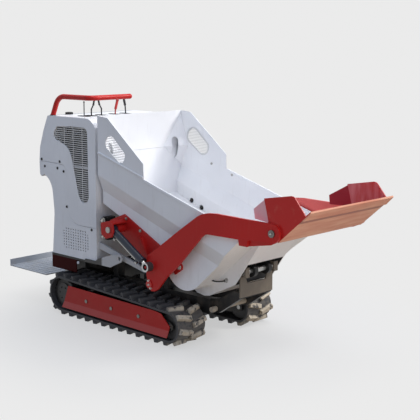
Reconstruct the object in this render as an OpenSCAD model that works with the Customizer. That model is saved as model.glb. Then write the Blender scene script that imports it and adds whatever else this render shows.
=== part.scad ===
// Tracked power carrier: self-loading mini dumper on rubber tracks.
// Millimetres. X forward, Y left, Z up. Z = 0 is the ground under the tracks.

/* [Tracks] */
// Distance from the drive sprocket axle to the idler axle
wheelbase = 897; // [860:1:920]
// Width over both rubber tracks
track_span = 740; // [720:2:780]
// Width of one rubber track
track_width = 200; // [180:2:210]
// Radius over the lugs at the drive sprocket
rear_radius = 122; // [118:1:126]
// Radius over the lugs at the idler
front_radius = 103; // [100:1:108]
// Height of a lug above the belt
lug_height = 20; // [16:1:22]
// Thickness of the rubber belt
belt_thickness = 11; // [9:1:13]
// Lug rows round one track
lug_rows = 33; // [30:1:36]
// Angle of a lug across the belt
lug_angle = 14; // [0:1:20]

/* [Engine housing] */
// Width over the housing side panels
housing_width = 640; // [610:2:644]
// Thickness of the housing sheet
housing_sheet = 4; // [3:0.5:5]
// Pitch of the wires in the side grilles
grille_pitch = 12; // [9:1:18]
// Vent holes along the service panel
vent_columns = 11; // [6:1:12]
// Vent holes up the service panel
vent_rows = 8; // [4:1:8]

/* [Controls] */
// Radius of the hand rail tube
rail_radius = 15; // [11:1:18]
// Top of the hand rail above the ground
rail_top = 1282; // [1260:1:1330]
// Height of the lever knobs above the ground
lever_top = 1236; // [1215:1:1245]

/* [Skip] */
// Width over the upper skip walls
skip_width = 650; // [620:2:660]
// Width over the lower skip walls
skip_low_width = 580; // [560:2:590]
// Thickness of the skip sheet
skip_sheet = 4; // [3:0.5:6]
// Top of the skip's rear wall above the ground
guard_top = 1175; // [1120:1:1220]

/* [Loader] */
// Thickness of an arm plate
arm_plate = 14; // [10:1:16]
// Width over the shovel side plates
shovel_width = 668; // [640:2:690]
// Shovel floor from hinge edge to lip
shovel_depth = 243; // [225:1:270]
// Thickness of the shovel plates
shovel_plate = 6; // [4:1:8]
// Radius of a lift ram barrel
ram_radius = 20; // [16:1:20]

/* [Rear platform] */
// Platform from hinge to rear edge
platform_length = 400; // [340:2:440]
// Width of the platform
platform_width = 600; // [480:2:640]
// Thickness of the platform plate
platform_plate = 6; // [4:1:8]

/* [Hidden] */
$fn = 48;
// Names of the separate pieces

// Colours
white = [0.86, 0.87, 0.89];
red = [0.62, 0.08, 0.07];
black = [0.09, 0.09, 0.10];
rubber = [0.07, 0.07, 0.075];
steel = [0.70, 0.71, 0.72];
grey = [0.52, 0.53, 0.54];
bronze = [0.42, 0.38, 0.33];
navy = [0.11, 0.14, 0.20];

// Track layout
rear_x = -600;
front_x = rear_x + wheelbase;
rear_c = [rear_x, rear_radius];
front_c = [front_x, front_radius];
track_out = track_span / 2;
track_in = track_out - track_width;
track_mid = (track_out + track_in) / 2;
belt_rear = rear_radius - lug_height;
belt_front = front_radius - lug_height;
belt_depth = lug_height + belt_thickness;
top_tilt = 2 * atan2(front_radius - rear_radius, wheelbase);
arc_front = belt_front * (180 + top_tilt) * PI / 180;
arc_rear = belt_rear * (180 - top_tilt) * PI / 180;
loop_length = 2 * wheelbase + arc_front + arc_rear;
pitch = loop_length / lug_rows;
wheel_gap = 2.5;
sprocket_radius = rear_radius - belt_depth - wheel_gap;
idler_radius = front_radius - belt_depth - wheel_gap;
roller_radius = 44;
roller_gap = 0.3;
roller_z = belt_depth + roller_gap + roller_radius;
roller_x = [for (k = [0.25, 0.5, 0.75]) rear_x + wheelbase * k];
horn_height = 18;
horn_half = 18;
groove_half = 28;
axle_radius = 12;
run_gap = 0.05;

// Pivot points as [x, z]
tip_hinge = [605, 405];
arm_pivot = [142, 303];
rod_eye = [152, 403];
barrel_pin = [-125, 568];
shovel_pivot = [985, 690];
ram_foot = [-330, 190];
ram_head = [130, 372];
platform_hinge = [-800, 200];

// Loader layout across the machine
arm_in = max(shovel_width / 2 + 2, skip_width / 2 + 8);
arm_out = arm_in + arm_plate;
ram_y = arm_out + 2 + ram_radius;
ear_in = shovel_width / 2 - shovel_plate;
sub_in = skip_low_width / 2;
sub_out = sub_in + 10;
bracket_in = ram_y + ram_radius + 2;
bracket_out = bracket_in + 8;
lift_length = norm(rod_eye - barrel_pin);
lift_angle = atan2(rod_eye[1] - barrel_pin[1], rod_eye[0] - barrel_pin[0]);
tip_length = norm(ram_head - ram_foot);
tip_angle = atan2(ram_head[1] - ram_foot[1], ram_head[0] - ram_foot[0]);

// Outline helpers
function arc(c, r, a0, a1, n) =
  [for (i = [0:n]) c + r * [cos(a0 + (a1 - a0) * i / n), sin(a0 + (a1 - a0) * i / n)]];
function edge_normal(a, b) = [b[1] - a[1], a[0] - b[0]] / norm(b - a);
function grow(p, d) = let (n = len(p)) [for (i = [0:n - 1])
  let (u = edge_normal(p[(i + n - 1) % n], p[i]), v = edge_normal(p[i], p[(i + 1) % n]))
  p[i] + d * (u + v) / (1 + u * v)];
// Normal angle and point of the belt at distance s, h above its outer face
function belt_angle(s) =
  s < wheelbase ? -90 :
  s < wheelbase + arc_front ? -90 + (s - wheelbase) / belt_front * 180 / PI :
  s < 2 * wheelbase + arc_front ? 90 + top_tilt :
  90 + top_tilt + (s - 2 * wheelbase - arc_front) / belt_rear * 180 / PI;
function belt_point(s, h) = let (a = belt_angle(s), n = [cos(a), sin(a)], t = [-sin(a), cos(a)])
  s < wheelbase ? [rear_x + s, lug_height - h] :
  s < wheelbase + arc_front ? front_c + (belt_front + h) * n :
  s < 2 * wheelbase + arc_front
    ? front_c + (belt_front + h) * n + (s - wheelbase - arc_front) * t
    : rear_c + (belt_rear + h) * n;
function belt_loop(h) = [for (i = [0:4 * lug_rows - 1]) belt_point(i * pitch / 4, h)];
function horn_loop() = [for (i = [0:lug_rows - 1])
  for (k = [[0.1, 0], [0.2, 1], [0.36, 1], [0.46, 0], [0.75, 0]])
  belt_point((i + k[0]) * pitch, -belt_thickness - k[1] * horn_height)];

// Solid helpers
module side(p, y0, y1) {
  rotate([90, 0, 0]) translate([0, 0, -y1]) linear_extrude(height = y1 - y0) polygon(p);
}
module frontal(p, x0, x1) {
  translate([x0, 0, 0]) rotate([90, 0, 90]) linear_extrude(height = x1 - x0) polygon(p);
}
module rod(c, r, y0, y1) {
  translate([c[0], y0, c[1]]) rotate([-90, 0, 0]) cylinder(r = r, h = y1 - y0);
}
module tube(c, ro, ri, y0, y1) {
  difference() {
    rod(c, ro, y0, y1);
    rod(c, ri, y0 - 1, y1 + 1);
  }
}
module box(a, b) {
  translate(a) cube(b - a);
}
module beam(a, b, r) {
  d = b - a;
  translate(a) rotate([0, acos(d[2] / norm(d)), atan2(d[1], d[0])]) cylinder(r = r, h = norm(d));
}
module both() {
  children();
  mirror([0, 1, 0]) children();
}
module right() {
  mirror([0, 1, 0]) children();
}

// Undercarriage

module chassis_frame() {
  rail_in = track_in - 70;
  rail_out = track_in - 20;
  color(black) difference() {
    union() {
      both() box([-690, rail_in, 150], [395, rail_out, 230]);
      both() box([-660, rail_out - 20, 72], [-540, rail_out, 200]);
      both() box([-690, rail_in, 230], [-640, rail_out, 330]);
      both() box([-380, rail_in, 230], [-340, rail_out, 330]);
      box([-700, -rail_out, 150], [-690, rail_out, 330]);
      box([-350, -track_in - 14, 120], [-310, track_in + 14, 160]);
      both() box([130, 50, 120], [170, track_in + 14, 160]);
      both() side([[-350, 150], [-310, 150], [-306, 190], [-318, 210], [-342, 210], [-354, 190]], 32, 42);
      both() side([[-692, 158], [-692, 250], [-790, 224], [-816, 214], [-824, 200], [-816, 184], [-790, 176]],
        rail_out - 12, rail_out);
      both() side([[380, 160], [440, 160], [583, 258], [583, 296], [545, 296], [440, 238], [380, 230]],
        rail_in, rail_in + 28);
      box([563, -rail_in - 28, 258], [583, rail_in + 28, 296]);
      both() box([48, 66, 318], [78, sub_out + 30, 345]);
      both() box([48, rail_in, 229], [78, rail_out, 319]);
    }
    rod(ram_foot, axle_radius, -60, 60);
    both() rod(platform_hinge, 9, rail_out - 20, rail_out + 10);
    rod([418, 180], 14, -200, 200);
  }
}

module front_bracket() {
  color(bronze) difference() {
    union() {
      frontal([[-128, 266], [128, 266], [128, 388], [95, 388], [72, 336], [-72, 336], [-95, 388], [-128, 388]],
        583, 591);
      both() box([586, 98, 378], [627, 128, 430]);
    }
    rod(tip_hinge, 16, -140, 140);
  }
}

module front_tube() {
  color(grey) rod([418, 180], 14, -track_in + 6, track_in - 6);
}

module rear_skirt() {
  color(red) {
    both() box([-735, 316, 256], [-510, 322, 330]);
    box([-735, -322, 256], [-731, 322, 330]);
  }
}

module engine_deck() {
  color(black) box([-735, -322, 330], [-326, 322, 342]);
}

module tie_down_lugs() {
  color(grey) both() difference() {
    side(concat([[-420, 336], [-200, 336], [-150, 360]], arc([-124, 397], 24, -70, 100, 8),
      [[-200, 404], [-300, 370], [-330, 352], [-420, 352]]), 322, 330);
    rod([-124, 397], 11, 320, 332);
  }
}

module rest_rails() {
  color(grey) both()
    side([[-326, 422], [-326, 458], [60, 366], [82, 360.75], [82, 345], [44, 345]], sub_in, sub_in + 14);
}

module rest_buffers() {
  color(rubber) both() side([[20, 375.53], [60, 366], [60, 422], [20, 433]], sub_in + 1, sub_in + 13);
}

module hinge_pins() {
  color(steel) {
    rod(tip_hinge, 16, -132, 132);
    rod(ram_foot, axle_radius, -46, 46);
    both() rod(platform_hinge, 9, track_in - 36, track_in + 4);
  }
}

module track_frame() {
  plate = [[-482, 74], [-440, 58], [150, 58], [front_x + 4, 76], [front_x + 26, 92], [front_x + 26, 114],
    [front_x + 4, 128], [150, 148], [-440, 168], [-482, 150]];
  color(black) difference() {
    union() {
      side(plate, track_in + 14, track_in + 22);
      side(plate, track_out - 22, track_out - 14);
      box([-440, track_in + 22, 136], [140, track_out - 22, 146]);
      for (x = [-370, -155, 70]) rod([x, 118], 14, track_out - 14, track_out - 9);
    }
    for (x = roller_x) rod([x, roller_z], axle_radius, track_in, track_out - 10);
    rod(front_c, axle_radius, track_in, track_out - 10);
    for (x = [-370, -155, 70]) rod([x, 118], 5, track_out - 30, track_out);
  }
}
module track_frame_right() { right() track_frame(); }
module track_frame_left() { track_frame(); }

module track_cover() {
  outline = [[rear_x + 13, 46], [front_x - 4, 44], [front_x + 12, 106], [front_x - 52, 165],
    [front_x - 98, 172], [rear_x + 67, 180]];
  color(red) difference() {
    intersection() {
      side(outline, track_out - 20, track_out + 20);
      frontal([[track_out - 9, 84], [track_out - 1, 40], [track_out + 3, 40], [track_out - 5, 84],
        [track_out - 5, 190], [track_out - 9, 190]], rear_x, front_x + 30);
    }
    for (x = [-370, -155, 70]) rod([x, 118], 5.3, track_out - 30, track_out);
  }
}
module track_cover_right() { right() track_cover(); }
module track_cover_left() { track_cover(); }

module cover_bolts() {
  color(steel) both() for (x = [-370, -155, 70]) {
    rod([x, 118], 5, track_out - 22, track_out - 5);
    rod([x, 118], 10, track_out - 5, track_out - 1);
  }
}

module lug(s, y, turn) {
  p = belt_point(s, 0);
  translate([p[0], y, p[1]]) rotate([0, 90 - belt_angle(s), 0]) rotate([0, 0, turn])
    rotate([90, 0, 0]) linear_extrude(height = track_width * 0.46, center = true)
    polygon([[-17, -4], [17, -4], [11, lug_height], [-11, lug_height]]);
}
module rubber_track() {
  color(rubber) {
    difference() {
      side(belt_loop(0), track_in, track_out);
      side(belt_loop(-belt_thickness), track_in - 1, track_out + 1);
    }
    difference() {
      side(belt_loop(-belt_thickness + 2), track_mid - horn_half, track_mid + horn_half);
      side(horn_loop(), track_mid - horn_half - 1, track_mid + horn_half + 1);
    }
    for (i = [0:lug_rows - 1]) {
      lug(i * pitch, track_mid + track_width * 0.245, lug_angle);
      lug((i + 0.5) * pitch, track_mid - track_width * 0.245, -lug_angle);
    }
  }
}
module rubber_track_right() { right() rubber_track(); }
module rubber_track_left() { rubber_track(); }

module wheel_body(c, r, hub, bore, y0, y1) {
  difference() {
    union() {
      rod(c, r, y0, track_mid - groove_half);
      rod(c, r, track_mid + groove_half, y1);
      rod(c, hub, y0, y1);
    }
    rod(c, bore, y0 - 1, y1 + 1);
  }
}

module sprocket() {
  y0 = track_in + 30;
  y1 = track_out - 30;
  color(black) difference() {
    union() {
      rod(rear_c, sprocket_radius, y0, track_mid - groove_half);
      rod(rear_c, sprocket_radius, track_mid + groove_half, y1);
      rod(rear_c, sprocket_radius - 28, y0, y1 + 6);
      rod(rear_c, 18, track_in - 5, y0 + 1);
    }
    for (i = [0:11]) rod(rear_c + sprocket_radius * [cos(i * 30), sin(i * 30)], 9, y0 - 1, y1 + 1);
    for (i = [0:5]) rod(rear_c + 36 * [cos(i * 60), sin(i * 60)], 5, y1, y1 + 8);
  }
}
module sprocket_right() { right() sprocket(); }
module sprocket_left() { sprocket(); }

module idler() {
  color(black) wheel_body(front_c, idler_radius, idler_radius - 24, axle_radius + run_gap, track_in + 28,
    track_out - 28);
}
module idler_right() { right() idler(); }
module idler_left() { idler(); }

module roller_pair(k) {
  color(black) both() wheel_body([roller_x[k], roller_z], roller_radius, 22, axle_radius + run_gap,
    track_in + 26, track_out - 26);
}
module back_rollers() { roller_pair(0); }
module mid_rollers() { roller_pair(1); }
module front_rollers() { roller_pair(2); }

module wheel_axles() {
  color(steel) both() {
    for (x = roller_x) rod([x, roller_z], axle_radius, track_in + 14, track_out - 14);
    rod(front_c, axle_radius, track_in + 14, track_out - 14);
  }
}

module drive_motors() {
  color(black) both() difference() {
    union() {
      rod(rear_c, 48, track_in - 20, track_in + 26);
      rod(rear_c, 30, track_in - 20, track_in + 27);
    }
    rod(rear_c, 18 + run_gap, track_in - 10, track_in + 30);
  }
}

// Engine housing

housing_out = housing_width / 2;
housing_in = housing_out - housing_sheet;
hood_outline = concat([[-326, 342], [-326, 1106]], arc([-412, 1062], 92, 30, 88, 6),
  [[-752, 1154]], arc([-748, 1140], 14, 100, 150, 3),
  [[-800, 1062], [-836, 963], [-844, 880], [-842, 815]], arc([-818, 812], 24, 175, 255, 5),
  arc([-840, 690], 120, 72, 8, 8), [[-709, 600], [-709, 569], [-730, 342]]);
seam = [[-900, 884], [-666, 878], [-625, 875], [-607, 866], [-592, 842], [-587, 810], [-580, 645],
  [-572, 600], [-556, 568], [-530, 548], [-490, 538], [-440, 536], [-300, 538]];
grille_hole = concat(arc([-430, 1066], 34, 0, 88, 5), [[-542, 1101], [-672, 1094]],
  arc([-668, 1046], 34, 110, 230, 6), [[-640, 1004], [-600, 990], [-572, 972], [-548, 934]],
  [[-525, 862], [-484, 712]], arc([-434, 716], 46, 200, 345, 9));

module panel_blank() {
  side(hood_outline, housing_in, housing_out);
}
module side_panel() {
  color(white) difference() {
    panel_blank();
    side(concat(seam, [[-300, 200], [-900, 200]]), housing_in - 1, housing_out + 1);
    side(grille_hole, housing_in - 1, housing_out + 1);
    for (p = upper_screws) rod(p, 4, housing_in - 1, housing_out + 1);
  }
}
module side_panel_right() { right() side_panel(); }
module side_panel_left() { side_panel(); }

module service_panel() {
  dx = 218 / (vent_columns - 1);
  dz = 112 / (vent_rows - 1);
  color(white) difference() {
    panel_blank();
    translate([0, 0, -2]) side(concat(seam, [[-300, 1300], [-900, 1300]]), housing_in - 1, housing_out + 1);
    for (i = [0:vent_columns - 1]) for (j = [0:vent_rows - 1])
      if (!((i == 0 || i == vent_columns - 1) && (j == 0 || j == vent_rows - 1)))
        rod([-622 + i * dx, 392 + j * dz], 4.5, housing_in - 1, housing_out + 1);
    for (p = lower_screws) rod(p, 4, housing_in - 1, housing_out + 1);
  }
}
module service_panel_right() { right() service_panel(); }
module service_panel_left() { service_panel(); }

module side_grilles() {
  color(black) both() {
    difference() {
      side(grow(grille_hole, 14), housing_in - 3, housing_in);
      side(grow(grille_hole, 1), housing_in - 4, housing_in + 1);
    }
    intersection() {
      side(grow(grille_hole, 8), housing_in - 3, housing_in);
      union() {
        for (z = [672:grille_pitch:1108]) box([-760, housing_in - 2.6, z], [-360, housing_in - 0.4, z + 5]);
        for (x = [-690, -610, -530, -450]) box([x, housing_in - 2.6, 640], [x + 4, housing_in - 0.4, 1120]);
      }
    }
  }
}

lever_y = [-222, -168, -92, 12, 98];
lever_x = -540;
filler = [-728, -183];
module hood_shell() {
  inner = grow(hood_outline, -housing_sheet);
  color(white) {
    difference() {
      side(hood_outline, -housing_in, housing_in);
      side(inner, -housing_in - 1, housing_in + 1);
      box([-727, -housing_in - 1, 330], [-330, housing_in + 1, 350]);
      for (y = lever_y) box([lever_x - 40, y - 8, 1130], [lever_x + 40, y + 8, 1170]);
      translate([filler[0], filler[1], 1140]) cylinder(r = 16, h = 20);
    }
    box([-841, -housing_in + 6, 868], [-328, housing_in - 6, 874]);
    both() for (p = concat(upper_screws, lower_screws)) difference() {
      rod(p, 11, housing_in - 12, housing_in);
      rod(p, 4, housing_in - 10, housing_in + 1);
    }
    both() {
      box([-842, housing_in - 13, 874], [-600, housing_in - 8, 900]);
      box([-842, housing_in - 13, 830], [-600, housing_in - 8, 870]);
      box([-600, housing_in - 13, 612], [-560, housing_in - 8, 870]);
      box([-400, housing_in - 13, 520], [-328, housing_in - 8, 556]);
      box([-566, housing_in - 13, 600], [-560, housing_in - 8, 650]);
    }
  }
}

upper_screws = [[-822, 892], [-650, 890]];
lower_screws = [[-792, 852], [-672, 850], [-614, 836], [-590, 632], [-368, 524]];
module panel_screws() {
  color(black) both() for (p = concat(upper_screws, lower_screws)) {
    rod(p, 4, housing_in - 8, housing_out);
    intersection() {
      translate([p[0], housing_out - 3, p[1]]) sphere(r = 9);
      rod(p, 9, housing_out, housing_out + 8);
    }
  }
}

// Inside the housing

module engine_block() {
  color(grey) {
    box([-650, -120, 342], [-430, 120, 470]);
    rod([-540, 470], 70, -95, 95);
    for (k = [0:6]) box([-620, -80 + k * 20, 470], [-460, -70 + k * 20, 660]);
    box([-600, -80, 470], [-480, 50, 690]);
    rod([-540, 430], 84, 120, 160);
  }
}

module muffler() {
  color(steel) {
    beam([-665, -60, 640], [-665, 90, 640], 36);
    beam([-665, 5, 640], [-620, 5, 640], 14);
  }
}

module fuel_tank() {
  color(black) {
    box([-770, -210, 874], [-420, 210, 1010]);
    translate([filler[0], filler[1], 1000]) cylinder(r = 14, h = 160);
    translate([filler[0], filler[1], 1154]) cylinder(r = 20, h = 12);
  }
}

module oil_tank() {
  color(grey) {
    box([-405, -230, 342], [-338, 230, 640]);
    translate([-372, 150, 640]) cylinder(r = 20, h = 18);
  }
}

module oil_pump() {
  color(grey) {
    rod([-540, 430], 40, 160, 250);
    box([-570, 200, 400], [-510, 244, 460]);
  }
}

module valve_block() {
  color(black) both() {
    box([-326, 214, 470], [-286, 272, 600]);
    for (z = [490, 525, 560]) rod([-306, z], 9, 272, 286);
    rod([-306, 582], 12, 272, 288);
  }
}

// Controls

module hand_rail() {
  z = rail_top - rail_radius;
  rise = 64;
  bend = 80;
  turn = 40;
  y = -300;
  y_end = -10;
  xb = -626;
  xf = -425;
  hood_top = 1154;
  bead = rail_radius + 0.4;
  trim = 0.6;
  along = [cos(rise), 0, sin(rise)];
  knee = [xb - bend * sin(rise), y, z - bend + bend * cos(rise)];
  foot = knee - (knee[2] - hood_top + 18) / sin(rise) * along;
  color(red) {
    difference() {
      beam(foot, knee - trim * along, rail_radius);
      box([-900, y - 40, 1100], [-600, y + 40, hood_top]);
    }
    translate([xb, y, z - bend]) rotate([90, 0, 0]) rotate([0, 0, 90.6])
      rotate_extrude(angle = rise - 1.2) translate([bend, 0]) circle(r = rail_radius);
    beam([xb + trim, y, z], [xf - trim, y, z], rail_radius);
    translate([xf, y + turn, z]) rotate([0, 0, -89.4])
      rotate_extrude(angle = 88.8) translate([turn, 0]) circle(r = rail_radius);
    for (p = [knee, [xb, y, z], [xf, y, z], [xf + turn, y + turn, z], [xf + turn, y_end, z]])
      translate(p) sphere(r = bead);
    rod([xf + turn, z], rail_radius, y + turn + trim, y_end);
  }
}

module lever_shaft() {
  color(steel) {
    rod([lever_x, 1118], 7, -262, 140);
    for (y = [-262, 132]) box([lever_x - 14, y, 1104], [lever_x + 14, y + 8, 1149.9]);
  }
}

module lever_hub(y) {
  tube([lever_x, 1118], 15, 7 + run_gap, y - 7, y + 7);
}
module throttle_lever() {
  y = lever_y[0];
  color(black) {
    lever_hub(y);
    beam([lever_x, y, 1132], [lever_x, y, lever_top], 3);
    translate([lever_x, y, lever_top]) sphere(r = 5);
  }
}
module bent_lever(y, lean) {
  color(black) {
    lever_hub(y);
    beam([lever_x, y, 1132], [lever_x, y, lever_top - 44], 4);
    translate([lever_x, y, lever_top - 44]) sphere(r = 4.8);
    beam([lever_x, y, lever_top - 44], [lever_x, y + lean * 16, lever_top - 18], 4);
    translate([lever_x, y + lean * 16, lever_top - 18]) sphere(r = 6.4);
    beam([lever_x, y + lean * 16, lever_top - 18], [lever_x, y + lean * 22, lever_top + 8], 5.5);
    translate([lever_x, y + lean * 22, lever_top + 8]) sphere(r = 6.6);
  }
}
module travel_lever_right() { bent_lever(lever_y[1], 1); }
module travel_lever_left() { bent_lever(lever_y[2], -1); }
module tip_lever() {
  y = lever_y[3];
  color(red) {
    lever_hub(y);
    beam([lever_x, y, 1132], [lever_x, y + 4, lever_top - 50], 4);
    beam([lever_x, y + 4, lever_top - 52], [lever_x, y + 20, lever_top], 8);
    translate([lever_x, y + 20, lever_top]) sphere(r = 9.4);
  }
}
module loader_lever() {
  y = lever_y[4];
  color(black) {
    lever_hub(y);
    beam([lever_x, y, 1132], [lever_x, y - 6, lever_top - 30], 4);
    beam([lever_x, y - 6, lever_top - 32], [lever_x, y - 16, lever_top + 10], 7);
    translate([lever_x, y - 16, lever_top + 10]) sphere(r = 8.6);
  }
}

// Rear platform

module platform() {
  x0 = platform_hinge[0] - platform_length;
  w = platform_width / 2;
  z = platform_hinge[1] - 12;
  hinge_room = 28;
  color(grey) difference() {
    union() {
      box([x0, -w, z - platform_plate], [platform_hinge[0] - hinge_room, w, z]);
      box([x0, -w, z - platform_plate], [x0 + platform_plate, w, z + 36]);
      both() side([[-1000, z - platform_plate - 14], [-830, z - platform_plate - 22], [-800, 180], [-782, 192],
        [-782, 208], [-796, 218], [-812, 212], [-826, z], [-1000, z]], track_in - 18, track_in - 4);
      for (i = [0:7]) box([x0 + 30 + i * 42, -w + 20, z - 1], [x0 + 38 + i * 42, w - 20, z + 2]);
    }
    both() rod(platform_hinge, 9 + run_gap, track_in - 30, track_in + 10);
  }
}

// Skip

skip_c = [345, 437];
skip_r = 142;
skip_front = 42;
skip_back = 62.1;
lip = skip_c + skip_r * [sin(skip_front), -cos(skip_front)] + 470 * [cos(skip_front), sin(skip_front)];
top_rear = [-300, 964];
skip_base = concat([[-300, 682], [151, 500]], arc(skip_c, skip_r, 270 - skip_back, 270 + skip_front, 26));
skip_profile = concat([top_rear], skip_base, [lip]);
skip_tall = concat([[-300, 1500]], skip_base, [lip + 300 * [cos(skip_front), sin(skip_front)]]);
nose_profile = [[232, 440], [262, 275], [300, 250], [351, 242], [391, 249], [571, 338], lip, [600, 600],
  skip_c];
nose_half = 148;
bevel_tilt = 18.2;

module bevel_prism(half_low, half_high) {
  translate([28, 0, 738]) rotate([0, bevel_tilt, 0])
    frontal([[-half_low, -900], [half_low, -900], [half_low, -86], [half_high, 0], [half_high, 1200],
      [-half_high, 1200], [-half_high, 0], [-half_low, -86]], -900, 1400);
}
module skip_tub() {
  t = skip_sheet;
  w = skip_width / 2;
  recess = nose_half - 2 * t;
  color(white) difference() {
    union() {
      intersection() {
        side(skip_profile, -w, w);
        bevel_prism(skip_low_width / 2, w);
      }
      side(nose_profile, -nose_half, nose_half);
    }
    difference() {
      union() {
        intersection() {
          side(grow(skip_tall, -t), -w + t, w - t);
          bevel_prism(skip_low_width / 2 - t, w - t);
        }
        side(grow(nose_profile, -t), -nose_half + t, nose_half - t);
      }
      box([552 - t, -recess - t, 300], [760, recess + t, 452 + t]);
    }
    box([552, -recess, 200], [760, recess, 452]);
    both() for (p = subframe_bolts) rod(p, 6, sub_in - 20, sub_in + 20);
  }
}

window_hole = concat(arc([-190, 1026], 44, 60, 215, 8), arc([-112, 968], 40, 225, 380, 8));
module skip_guard() {
  t = skip_sheet;
  w = skip_width / 2;
  slope = (lip[1] - top_rear[1]) / (lip[0] - top_rear[0]);
  foot = top_rear[1] + slope * (75 + 300);
  seat = 0.1;
  color(white) {
    box([-300, -w, top_rear[1]], [-300 + t, w, guard_top]);
    both() difference() {
      side([[-300, top_rear[1]], [75, foot], [72, foot + 84], [-216, guard_top - 8], [-300, guard_top]], w - t, w);
      side(window_hole, w - t - 1, w + 1);
    }
    both() difference() {
      intersection() {
        union() {
          box([-300 + t / 2, 100, top_rear[1] + 1], [-200, w - t / 2, 1300]);
          box([-300 + t + seat, 100, 800], [-200, w - t - seat, top_rear[1] + 2]);
        }
        gusset(0);
      }
      gusset(t);
      translate([-267, w - 78, 958]) rotate([0, 0, -22.3]) rotate([0, 90, 0]) linear_extrude(height = 200, center = true)
        slot(86, 20);
    }
  }
}
// Space behind the two folded faces of a corner gusset, d below them
module gusset(d) {
  top = [-300 + skip_sheet, skip_width / 2 - skip_sheet, guard_top - 22];
  low = [top[0], top[1], 850];
  ridge = [top[0], top[1] - 143, 968];
  nose = [-238, top[1], 968];
  intersection() {
    behind(top, ridge, nose, d);
    behind(ridge, low, nose, d);
  }
}
module behind(o, p, q, d) {
  on_plane(o, p, q) translate([-500, -500, -500 - d]) cube([1000, 1000, 500]);
}
module slot(l, r) {
  translate([-l / 2, 0]) circle(r = r);
  translate([l / 2, 0]) circle(r = r);
  translate([-l / 2, -r]) square([l, 2 * r]);
}
// Lays flat children on the plane through o, p and q
module on_plane(o, p, q) {
  u = (p - o) / norm(p - o);
  n = cross(p - o, q - o) / norm(cross(p - o, q - o));
  v = cross(n, u);
  multmatrix([[u[0], v[0], n[0], o[0]], [u[1], v[1], n[1], o[1]], [u[2], v[2], n[2], o[2]]]) children();
}
// Flat plate through o, p and q; corners are shares of the two edges from o
module plate(o, p, q, t, corners) {
  a = p - o;
  b = q - o;
  u = a / norm(a);
  v = cross(cross(a, b) / norm(cross(a, b)), u);
  on_plane(o, p, q) linear_extrude(height = t)
    polygon([for (k = corners) [(k[0] * a + k[1] * b) * u, (k[0] * a + k[1] * b) * v]]);
}

module guard_grilles() {
  w = skip_width / 2 - skip_sheet;
  color(steel) both() {
    difference() {
      side(grow(window_hole, 10), w - 3, w);
      side(grow(window_hole, 1), w - 4, w + 1);
    }
    intersection() {
      side(grow(window_hole, 6), w - 3, w);
      for (z = [918:9:1080]) box([-250, w - 2.6, z], [-55, w - 0.4, z + 3.5]);
    }
  }
}

module skip_lugs() {
  color(black) {
    both() difference() {
      union() {
        rod(tip_hinge, 34, 43, 67);
        box([552, 43, 374], [tip_hinge[0], 67, 438]);
      }
      rod(tip_hinge, 16 + run_gap, 40, 70);
    }
    both() difference() {
      side([[118, 376], [130, 350], [154, 356], [206.3, 395.3], [151, 500], [110, 516.54]], 40, 50);
      rod(ram_head, 9, 30, 60);
    }
  }
}

// Loader

subframe_bolts = [[-92, 620], [20, 569]];
module loader_subframe() {
  color(red) both() difference() {
    union() {
      side([[-232, 596], [-226, 552], [-150, 512], [-60, 455], [15, 434.4], [60, 422], [100, 408], [112, 320],
        [124, 286], [150, 276], [172, 292], [190, 400], [219, 483], [-113, 643]], sub_in, sub_out);
      side([[150, 330], [226, 352], [300, 398], [311, 410], [313, 424], [305, 435], [290, 436], [160, 390]],
        sub_in, sub_out);
      rod(arm_pivot, 30, sub_out, arm_in - 0.4);
      side([[-190, 600], [-186, 536], [-150, 516], [-100, 530], [-86, 560], [-92, 606], [-110, 618]],
        bracket_in, bracket_out);
      side([[-190, 596], [-186, 602], [-110, 620], [-92, 608], [-92, 600], [-112, 611]], sub_out, bracket_in);
      tube(barrel_pin, 24, axle_radius, sub_out, arm_out + 1);
      side([[30, 540], [52, 529], [112, 412], [92, 412]], sub_out, sub_out + 18);
    }
    rod(arm_pivot, 15, sub_in - 5, arm_out + 20);
    rod(barrel_pin, axle_radius, sub_in - 5, bracket_out + 5);
    for (p = subframe_bolts) rod(p, 6, sub_in - 5, sub_out + 20);
  }
}

module loader_pins() {
  color(steel) both() {
    rod(arm_pivot, 15, sub_in, arm_out + 6);
    rod(arm_pivot, 21, arm_out + 0.4, arm_out + 6);
    rod(barrel_pin, axle_radius, sub_in, bracket_out);
    rod(barrel_pin, 17, bracket_out, bracket_out + 7);
    for (p = subframe_bolts) {
      rod(p, 6, sub_in - skip_sheet, sub_out);
      rod(p, 8, sub_out, sub_out + 6);
      rod(p, 8, sub_in - skip_sheet - 6, sub_in - skip_sheet);
    }
  }
}

arm_outline = concat([[118, 352], [132, 300], [142, 276], [160, 268], [184, 272], [206, 286], [270, 360], [356, 434],
  [520, 606], [540, 622], [562, 630], [770, 633], [900, 641]],
  arc(shovel_pivot, 46, -92, 84, 14), [[622, 741], [570, 737], [530, 728], [500, 714], [364, 622], [217, 517],
  [132, 460], [120, 440]]);
module arm() {
  color(red) difference() {
    union() {
      side(arm_outline, arm_in, arm_out);
      side([[776, 604], [828, 604], [832, 640], [770, 640]], arm_in, arm_out - 2);
      side(shovel_points([[-120, 108.2], [-90, 106.1], [-90, 128], [-120, 128]]), arm_in - 10, arm_in);
      rod(rod_eye, 26, arm_out, arm_out + 1.4);
      rod(rod_eye, 7, arm_out, ram_y + 16);
    }
    rod(arm_pivot, 15 + run_gap, arm_in - 5, arm_out + 5);
    rod(shovel_pivot, 11, arm_in - 5, arm_out + 5);
  }
}
module arm_right() { right() arm(); }
module arm_left() { arm(); }

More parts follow.
